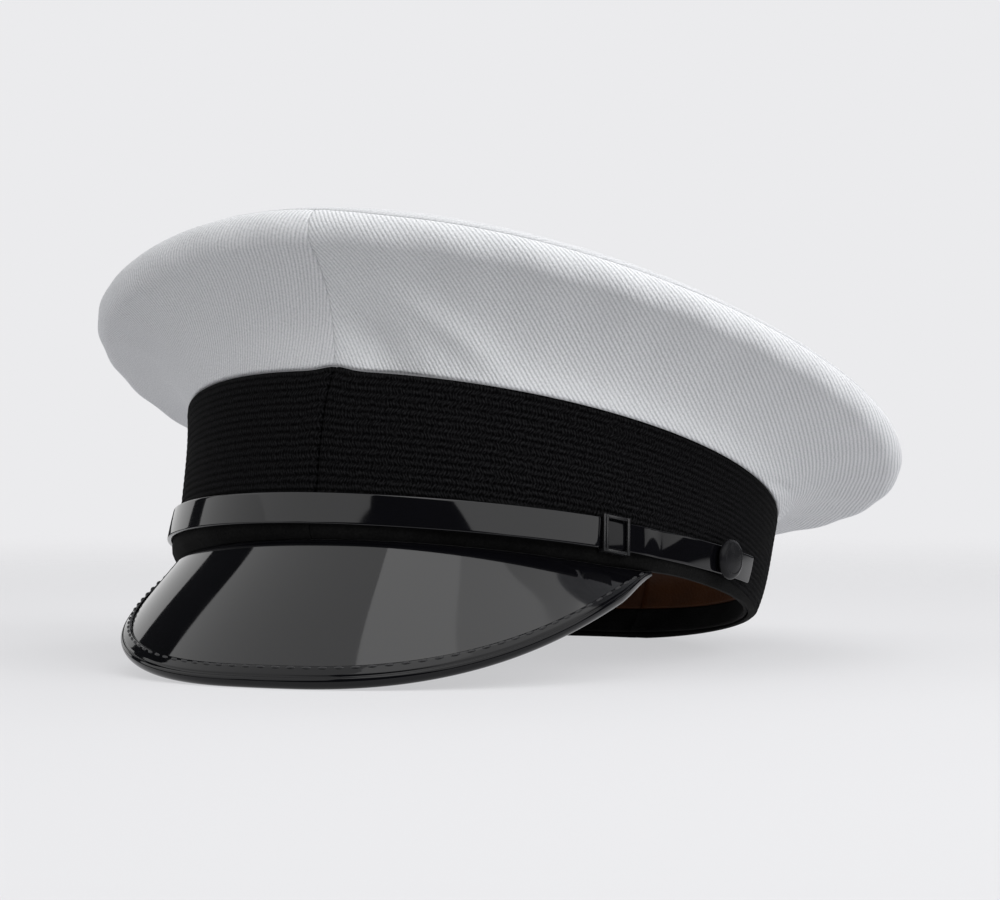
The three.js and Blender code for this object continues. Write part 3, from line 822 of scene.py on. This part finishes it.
def crown_cover():
    count = 288
    rows = np.concatenate([[0, 0.04, 0.09, 0.15], np.linspace(0.22, 1, 10), np.linspace(1.02, 1.985, 40)])
    t, row = mesh_grid(np.arange(count) * 2 * math.pi / count, rows)
    points = crown_top(t, row)
    wrapped = np.concatenate([points[-2:], points, points[:2]])
    normals = grid_normals(wrapped)[2:-2]
    wave = np.sin(points[..., 0] / 23) * np.sin(points[..., 1] / 31)
    relief = seam_valley(row * TOP_ROLL, EDGE_SEAM_DEPTH, SEAM_WIDTH) + 0.35 * wave * smooth(1.0, 1.4, row)
    upper = points + normals * relief[..., None]
    lower = points - normals * (CROWN_WALL - np.minimum(relief, 0))[..., None]
    middle = crown_top(np.array([[0.0]]), np.array([[2.0]])).reshape(1, 3)
    placed = to_row(np.concatenate([joined(upper, lower), middle, middle - [0, 0, CROWN_WALL]]))
    rings = len(rows)
    faces = []

    def at(side, i, j):
        return (side * count + i % count) * rings + j

    tops, bottoms = 2 * count * rings, 2 * count * rings + 1
    for i in range(count):
        for j in range(rings - 1):
            faces.append((at(0, i, j), at(0, i + 1, j), at(0, i + 1, j + 1), at(0, i, j + 1)))
            faces.append((at(1, i, j), at(1, i, j + 1), at(1, i + 1, j + 1), at(1, i + 1, j)))
        faces.append((at(1, i, 0), at(1, i + 1, 0), at(0, i + 1, 0), at(0, i, 0)))
        faces.append((at(0, i, rings - 1), at(0, i + 1, rings - 1), tops))
        faces.append((at(1, i, rings - 1), bottoms, at(1, i + 1, rings - 1)))
    flat = cover_pattern(points)
    pattern = np.concatenate([joined(flat, flat), np.zeros((2, 2))])
    return make_piece("crown_top_cloth", placed, faces, PAINTED_SHADE_TOP_TWILL, ["crown_top"], pattern)


top_panel = crown_cover()


# Band


def hem_top(t):
    """The level where the braid ends and the felt hem begins."""
    low, high = (math.radians(angle) for angle in BRAID_BOTTOM_ANGLES)
    return BRAID_BOTTOM + BRAID_BOTTOM_RISE * (1 - smooth(low, high, np.abs(turn_of(t))))


def band_piece():
    seam = GAP / 2 / BAND_HALF_WIDTH[0]
    edge_steps = np.array([0, 0.0008, 0.002, 0.004, 0.0065])
    shares = np.concatenate([edge_steps, np.linspace(0.0095, 1 - 0.0095, 260), 1 - edge_steps[::-1]])
    stations = seam + (2 * math.pi - 2 * seam) * shares
    per_rib = 8
    hem_rows = np.array([-1, -0.985, -0.95, -0.88, -0.76, -0.6, -0.4, -0.2, -0.06])
    rib_rows = np.linspace(0, RIBS, RIBS * per_rib + 1)
    t, row = mesh_grid(stations, np.concatenate([hem_rows, rib_rows]))
    low, middle, high = -hem_drop(t), hem_top(t), band_height(t)
    z = np.where(row < 0, middle + row * (middle - low), middle + row / RIBS * (high - middle))
    in_braid = row >= 0
    rib = np.abs(np.sin(row * math.pi)) ** 0.8 - 1
    relief = np.where(in_braid, RIB_DEPTH * rib, 0)
    edge = np.where(in_braid, (high - z) / 1.0, (z - low) / 0.9)
    relief = relief - 1.0 * np.exp(-edge)
    to_seam = np.minimum(t - stations[0], stations[-1] - t) * 100
    relief = relief + np.where(in_braid, seam_valley(to_seam, 0.9, 0.8), 0)
    relief = relief + np.where(in_braid, 0, 0.15 * np.sin(9 * t) * np.sin(-row * math.pi))
    outer = band_face(t, z, relief)
    inner = band_back(t, z)
    zigzag = np.abs((row % 2) - 1)
    length = t * BAND_MEAN_RADIUS
    pattern = np.stack([length / STRAND_PITCH + zigzag, row], axis=-1)
    faces = wall_faces(*t.shape)
    rows = t.shape[1]
    columns = np.array([min(corner % rows for corner in face) for face in faces])
    materials = np.where(columns < len(hem_rows), 1, 0)
    return make_piece(
        "band_braid",
        to_row(joined(outer, inner)),
        faces,
        [BRAID, FELT],
        ["band"],
        joined(pattern, pattern),
        materials,
    )


band_piece()


# Linings


def lining(name, node, bottom, top, wall, material, edge_roll):
    seam = GAP / 2 / BAND_HALF_WIDTH[0]
    t, row = mesh_grid(
        np.linspace(JOIN_ANGLE + seam, JOIN_ANGLE + 2 * math.pi - seam, 240), np.linspace(0, 1, 16)
    )
    z = bottom + row * (top(t) - bottom)
    face = band_back(t, z, -LINING_GAP)
    soft = 0.12 * np.sin(17 * t) * np.sin(row * math.pi)
    soft = soft + 0.5 * np.exp(-np.minimum(row, 1 - row) / 0.04) * edge_roll
    back = band_back(t, z, -LINING_GAP - wall + soft)
    pattern = np.stack([t * LINING_MEAN_RADIUS, z], axis=-1)
    points = to_row(joined(face, back))
    return make_piece(name, points, wall_faces(*t.shape), material, [node], joined(pattern, pattern))


def tape_top(t):
    return TAPE_TOP + 0 * t


def sweat_top(t):
    return band_height(t) - SWEAT_BELOW_TOP


lining("hem_tape_cloth", "hem_tape", TAPE_BOTTOM, tape_top, TAPE_WALL, FELT, 1.0)
lining("sweatband_leather", "sweatband", SWEAT_BOTTOM, sweat_top, SWEAT_WALL, LEATHER, 0.8)


# Peak, its binding and stitches


def peak_stations(count):
    share = np.linspace(-1, 1, count)
    return PEAK_END_SHARE * np.sin(share * math.pi / 2)


def peak_piece():
    side, row = mesh_grid(peak_stations(161), np.concatenate([[0, 0, 0.004], np.linspace(0, 1, 33)[1:]]))
    root, down, face, length = peak_line(side)
    middle = root + down * (length * row)[..., None]
    straight = smooth(0.2, 0.6, side)
    swell = 0.7 * np.sin(row * math.pi) * (1 - side**2) * (1 - 0.8 * straight)
    swell = swell - 1.4 * row * (1 - row) ** 3 * straight
    outer = tapered(side, middle + face * swell[..., None])
    inner = tapered(side, middle + face * (swell - PEAK_WALL)[..., None])
    t = side[:, 0] * PEAK_ANGLE
    outer[:, 0] = oval_point(band_oval(t, 0 * t), t, -hem_drop(t) - PEAK_TUCK_DEPTH, -PEAK_TUCK)
    inner[:, 0] = outer[:, 0] - face[:, 0] * PEAK_WALL
    points = to_row(joined(outer, inner))
    return make_piece("peak_patent", points, wall_faces(*side.shape), PATENT, ["peak"])


def binding_section(length, depth):
    """Distances in from the peak's edge and heights over its face, from the upper to the lower flange."""
    flange = np.minimum(BINDING_FLANGE, 0.45 * length)
    half = PEAK_WALL / 2 + BINDING_CLEARANCE + BINDING_WALL - depth
    bead = BINDING_BEAD - depth
    places = []
    for share in (1, 0.985, 0.95, 0.9, 0.75, 0.6, 0.45, 0.3, 0.2, 0.12, 0.07, 0.03):
        round_off = 0.55 * np.exp(-(1 - share) / 0.03)
        groove = 0.45 * bump(share, 0.12, 0.05)
        places.append((share * flange, half - (round_off + groove) * (depth == 0)))
    for angle in np.linspace(0, math.pi, 19):
        places.append((-bead * math.sin(angle) + 0 * flange, half * math.cos(angle) + 0 * flange))
    for share in (0.1, 0.35, 0.7, 0.95, 1):
        round_off = 0.4 * np.exp(-(1 - share) / 0.03)
        places.append((share * flange, -half + round_off * (depth == 0)))
    return places


def binding_piece():
    sides = peak_stations(181)
    root, down, face, length = peak_line(sides)
    grids = []
    for depth in (0.0, BINDING_WALL):
        rows = []
        for distance, height in binding_section(length, depth):
            lifted = height - PEAK_WALL / 2 + 0 * length
            rows.append(peak_point(sides, distance, lifted))
        grids.append(np.stack(rows, axis=1))
    faces = wall_faces(*grids[0].shape[:2])
    points = to_row(joined(*grids))
    return make_piece("peak_binding_patent", points, faces, BINDING_PATENT, ["peak_binding"])


def stitch_rings(start, end, out):
    """Rings of a stitch: a short rounded thread from start to end that dips into the sheet at both ends."""
    along = unit(end - start)
    across = np.cross(out, along)
    length = np.linalg.norm(end - start)
    rings = []
    for share in np.linspace(0, 1, STITCH_RINGS):
        thick = STITCH_RADIUS * max(0.12, math.sin(math.pi * share) ** 0.4)
        lift = STITCH_RADIUS * (math.sin(math.pi * share) ** 0.6 * 1.1 - 0.55)
        middle = start + along * length * share + out * lift
        for angle in np.arange(STITCH_RING) * 2 * math.pi / STITCH_RING:
            rings.append(middle + thick * (across * math.cos(angle) + out * math.sin(angle)))
    return np.array(rings)


def stitches():
    fine = np.linspace(-PEAK_END_SHARE + 0.02, PEAK_END_SHARE - 0.02, 4000)
    root, down, face, length = peak_line(fine)
    inset = np.minimum(STITCH_INSET, 0.3 * length)
    line = peak_point(fine, inset, np.full(len(fine), BINDING_CLEARANCE + BINDING_WALL - STITCH_SINK))
    travel = np.concatenate([[0], np.cumsum(np.linalg.norm(np.diff(line, axis=0), axis=1))])

    def on_line(distance):
        return np.array([np.interp(distance, travel, line[:, k]) for k in range(3)])

    points, faces = [], []
    one_stitch = tube_faces(STITCH_RINGS, STITCH_RING)
    for place in np.arange(0.5, travel[-1] - STITCH_PITCH, STITCH_PITCH):
        out = face[np.searchsorted(travel, place)]
        base = len(points) * STITCH_RING * STITCH_RINGS
        points.append(stitch_rings(on_line(place), on_line(place + STITCH_LENGTH), out))
        faces += [tuple(base + corner for corner in corners) for corners in one_stitch]
    return make_piece("peak_stitches", to_row(np.concatenate(points)), faces, THREAD)


peak_piece()
binding_piece()
stitches()


# Chin strap


def strap_section(width, wall):
    """Places across and out of a strap's section: a faint dome and round edges."""
    half = width / 2
    flat = half - STRAP_EDGE
    across = np.linspace(-flat, flat, 24)
    dome = STRAP_DOME * (1 - (across / half) ** 2)
    face = [(a, wall - STRAP_DOME + d) for a, d in zip(across, dome)]
    turn = np.linspace(0, math.pi, 9)[1:-1]
    middle = (wall - STRAP_DOME) / 2
    right = [(flat + STRAP_EDGE * math.sin(a), middle + middle * math.cos(a)) for a in turn]
    left = [(-flat - STRAP_EDGE * math.sin(a), middle - middle * math.cos(a)) for a in turn]
    back = [(a, 0.0) for a in np.linspace(flat, -flat, 8)]
    return np.array(face + right + back + left)


def strap_piece(name, node, angles, width, wall, offset, patent):
    section = strap_section(width, wall)
    first, last = (math.radians(angle) for angle in angles)
    shares = np.concatenate([[0, 0.0015, 0.004], np.linspace(0.008, 0.992, 240), [0.996, 0.9985, 1]])
    t = first + (last - first) * shares
    closing = np.minimum(shares, 1 - shares)
    shrink = np.interp(closing, [0, 0.0015, 0.004], [0.6, 0.88, 1])
    turn = t[:, None]
    middle = wall / 2
    level = strap_level(turn) + section[None, :, 0] * (0.94 + 0.06 * shrink[:, None])
    out = middle + (section[None, :, 1] - middle) * shrink[:, None]
    points = band_face(turn + 0 * out, level, offset(turn) + out)
    faces = tube_faces(len(t), len(section))
    return make_piece(name, to_row(points.reshape(-1, 3)), faces, patent, [node])


strap_piece("strap_front_patent", "strap_front", STRAP_ANGLES, STRAP_WIDTH, STRAP_WALL, front_offset, PATENT)
strap_piece("strap_tail_patent", "strap_tail", TAIL_ANGLES, TAIL_WIDTH, TAIL_WALL, tail_offset, TAIL_PATENT)


def rounded_bar(low, high, bevel):
    """Points and faces of a box with bevelled edges, in millimetres."""
    shape = bmesh.new()
    bmesh.ops.create_cube(shape, size=1)
    size = np.array(high) - np.array(low)
    middle = (np.array(high) + np.array(low)) / 2
    for corner in shape.verts:
        corner.co = Vector(np.array(corner.co) * size + middle)
    edges = list(shape.edges)
    bmesh.ops.bevel(shape, geom=edges, offset=bevel, segments=3, profile=0.5, affect="EDGES")
    shape.verts.index_update()
    points = np.array([list(corner.co) for corner in shape.verts])
    faces = [tuple(corner.index for corner in face.verts) for face in shape.faces]
    shape.free()
    return points, faces


def keeper_piece():
    """A loop of black metal round the strap's tail, with a double bar on its front side."""
    inside = TAIL_WALL / 2 + GAP
    outside = inside + KEEPER_WALL
    half_length, half_height = KEEPER_LENGTH / 2, KEEPER_HEIGHT / 2
    side_wall = (KEEPER_HEIGHT - TAIL_WIDTH - 2 * GAP) / 2
    bars = [
        ((-half_length, -half_height, -outside), (half_length, half_height, -inside)),
        ((-half_length, half_height - side_wall, -outside), (half_length, half_height, outside)),
        ((-half_length, -half_height, -outside), (half_length, -half_height + side_wall, outside)),
    ]
    first_end = -half_length + KEEPER_BARS[0]
    second_start = first_end + KEEPER_BAR_GAP
    front_bars = (
        (-half_length, first_end),
        (second_start, second_start + KEEPER_BARS[1]),
        (half_length - KEEPER_BARS[2], half_length),
    )
    for (start, end), proud in zip(front_bars, KEEPER_BAR_PROUD):
        bars.append(((start, -half_height, inside), (end, half_height, outside + proud)))
    points, faces = [], []
    for low, high in bars:
        bar_points, bar_faces = rounded_bar(low, high, KEEPER_BEVEL)
        base = sum(len(p) for p in points)
        points.append(bar_points)
        faces += [tuple(base + corner for corner in face) for face in bar_faces]
    tail_middle = tail_offset(KEEPER_ANGLE) + TAIL_WALL / 2
    place = np.array(strap_frame(KEEPER_ANGLE, strap_level(KEEPER_ANGLE), tail_middle))
    local = np.concatenate(points)
    placed = local @ place[:3, :3].T + place[:3, 3] / MM
    return make_piece("keeper_loop", placed, faces, METAL, ["keeper"])


keeper_piece()


def button_piece(name, sign, offset):
    """A low button with a bevelled rim, turned a little to the front."""
    angles = np.arange(BUTTON_SIDES) * 2 * math.pi / BUTTON_SIDES
    profile = np.array(BUTTON_PROFILE)
    radius = profile[:, :1] * BUTTON_RADIUS
    height = profile[:, 1:] * BUTTON_THICKNESS + 0 * angles
    rings = np.stack([radius * np.cos(angles), radius * np.sin(angles), height], axis=-1)
    points = rings.reshape(-1, 3)
    clearance = GAP + BUTTON_BASE_SHARE * BUTTON_RADIUS * math.sin(BUTTON_TURN)
    frame_place = strap_frame(sign * BUTTON_ANGLE, BUTTON_LEVEL, offset + clearance)
    place = np.array(frame_place @ Matrix.Rotation(-sign * BUTTON_TURN, 4, "Y"))
    placed = points @ place[:3, :3].T + place[:3, 3] / MM
    faces = tube_faces(len(profile), BUTTON_SIDES)
    return make_piece(name + "_dome", placed, faces, BUTTON_METAL, [name])


button_piece("button_left", 1, float(tail_offset(BUTTON_ANGLE)) + TAIL_WALL)
button_piece("button_right", -1, float(front_offset(-BUTTON_ANGLE)) + STRAP_WALL)


# Studio: softboxes by name, middle, two half sides and radiance, like a tent open towards the camera
CAP_MIDDLE = (0.0, 0.0, 0.06)
FLOOR_FADE = (0.35, 0.95)
DIM_LIGHT = 0.025
SOFTBOXES = (
    ("left_roof", (-0.547, -1.09, 0.8445), (0, 1.11, 0), (0.502, 0, 0.336), 1.15),
    ("left_wall", (-1.279, -0.75, 0.354), (0, 0.91, 0), (0.231, 0, 0.154), 0.95),
    ("right_roof", (0.1445, -0.37, 1.0237), (0, 0.63, 0), (-0.1855, 0, 0.1237), 2.35),
    ("right_slope", (0.39, -0.37, 0.86), (0, 0.63, 0), (-0.06, 0, 0.04), 1.85),
    ("right_wall", (0.825, -0.37, 0.57), (0, 0.63, 0), (-0.375, 0, 0.25), 1.3),
    ("left_rear_high", (-1.3, 1.08, 0.65), (0, 0.49, 0), (0, 0, 0.25), 0.9),
    ("left_rear_low", (-1.3, 0.985, 0.225), (0, 0.585, 0), (0, 0, 0.175), 0.9),
    ("rear", (0.15, 1.30, 0.85), (0.7, 0, 0), (0, -0.22, 0.4), 1.2),
    ("right_rear", (1.3, 1.05, 0.40), (-0.139, 0.17, 0), (0, 0, 0.13), 1.0),
    ("top_rear", (-0.2, 0.95, 1.35), (0.65, 0, 0), (0, 0.35, -0.05), 2.1),
)

# Fill lights, in the same columns: they reach the cloth but aren't mirrored in the gloss
FILLS = (
    ("front_fill", (1.05, -0.40, 0.80), (0.16, 0.42, 0), (-0.26, 0.1, 0.34), 2.8),
    ("side_fill", (1.25, 0.25, 0.50), (0, 0.5, 0), (-0.12, 0, 0.38), 1.9),
)


def make_floor():
    """A pale floor that fades into the pale surroundings away from the cap."""
    count = 96
    angles = np.arange(count) * 2 * math.pi / count
    reach = FLOOR_FADE[1]
    points = [(0.0, 0.0, 0.0)] + [(reach * math.cos(a), reach * math.sin(a), 0.0) for a in angles]
    mesh = bpy.data.meshes.new("floor")
    mesh.from_pydata(points, [], [(0, i + 1, (i + 1) % count + 1) for i in range(count)])
    surface = Surface("floor", (0.20, 0.20, 0.205), 0.9)
    surface.set(Specular_IOR_Level=0.1, Emission_Color=(1.0, 1.0, 1.02, 1), Emission_Strength=0.53)
    far = surface.node("VectorMath", {0: surface.place()}, {"operation": "LENGTH"}).outputs["Value"]
    fade = surface.node(
        "MapRange",
        {"Value": far},
        {"interpolation_type": "SMOOTHSTEP"},
        From_Min=FLOOR_FADE[0],
        From_Max=FLOOR_FADE[1],
        To_Min=1,
        To_Max=0,
    )
    surface.link(fade.outputs["Result"], "Alpha")
    mesh.materials.append(surface.material)
    floor = bpy.data.objects.new("floor", mesh)
    bpy.context.scene.collection.objects.link(floor)


def make_world():
    """Pale to the camera and dim to everything else, as a white backdrop in a dark studio."""
    world = bpy.data.worlds.new("studio")
    bpy.context.scene.world = world
    world.use_nodes = True
    nodes, links = world.node_tree.nodes, world.node_tree.links
    dim = nodes["Background"]
    dim.inputs["Color"].default_value = (0.90, 0.95, 1.0, 1)
    dim.inputs["Strength"].default_value = DIM_LIGHT
    pale = nodes.new("ShaderNodeBackground")
    pale.inputs["Color"].default_value = (0.831, 0.831, 0.847, 1)
    path = nodes.new("ShaderNodeLightPath")
    mix = nodes.new("ShaderNodeMixShader")
    links.new(path.outputs["Is Camera Ray"], mix.inputs["Fac"])
    links.new(dim.outputs[0], mix.inputs[1])
    links.new(pale.outputs[0], mix.inputs[2])
    links.new(mix.outputs[0], nodes["World Output"].inputs["Surface"])


def softbox(name, middle, across, along, radiance, mirrored=True):
    """A rectangular light by its middle and its two half sides, facing the cap, mirrored in gloss or not."""
    middle, across, along = Vector(middle), Vector(across), Vector(along)
    facing = across.cross(along).normalized()
    if facing.dot(Vector(CAP_MIDDLE) - middle) < 0:
        along = -along
        facing = -facing
    data = bpy.data.lights.new(name, "AREA")
    data.shape = "RECTANGLE"
    data.size, data.size_y = 2 * across.length, 2 * along.length
    data.energy = radiance * math.pi * data.size * data.size_y
    light = bpy.data.objects.new(name, data)
    turned = Matrix((across.normalized(), (-facing).cross(across.normalized()), -facing)).transposed()
    light.matrix_world = Matrix.Translation(middle) @ turned.to_4x4()
    light.visible_camera = False
    light.visible_glossy = mirrored
    bpy.context.scene.collection.objects.link(light)


def make_camera():
    data = bpy.data.cameras.new("camera")
    data.sensor_fit = "HORIZONTAL"
    data.sensor_width = 36
    data.lens = CAMERA_LENS
    data.clip_start = 0.01
    camera = bpy.data.objects.new("camera", data)
    camera.location = CAMERA_PLACE
    camera.rotation_euler = (math.pi / 2 - CAMERA_ELEVATION, 0, CAMERA_AZIMUTH)
    bpy.context.scene.collection.objects.link(camera)
    bpy.context.scene.camera = camera


make_floor()
make_world()
make_camera()
for box in SOFTBOXES:
    softbox(*box)
for box in FILLS:
    softbox(*box, mirrored=False)
bpy.context.scene.view_settings.view_transform = "Standard"
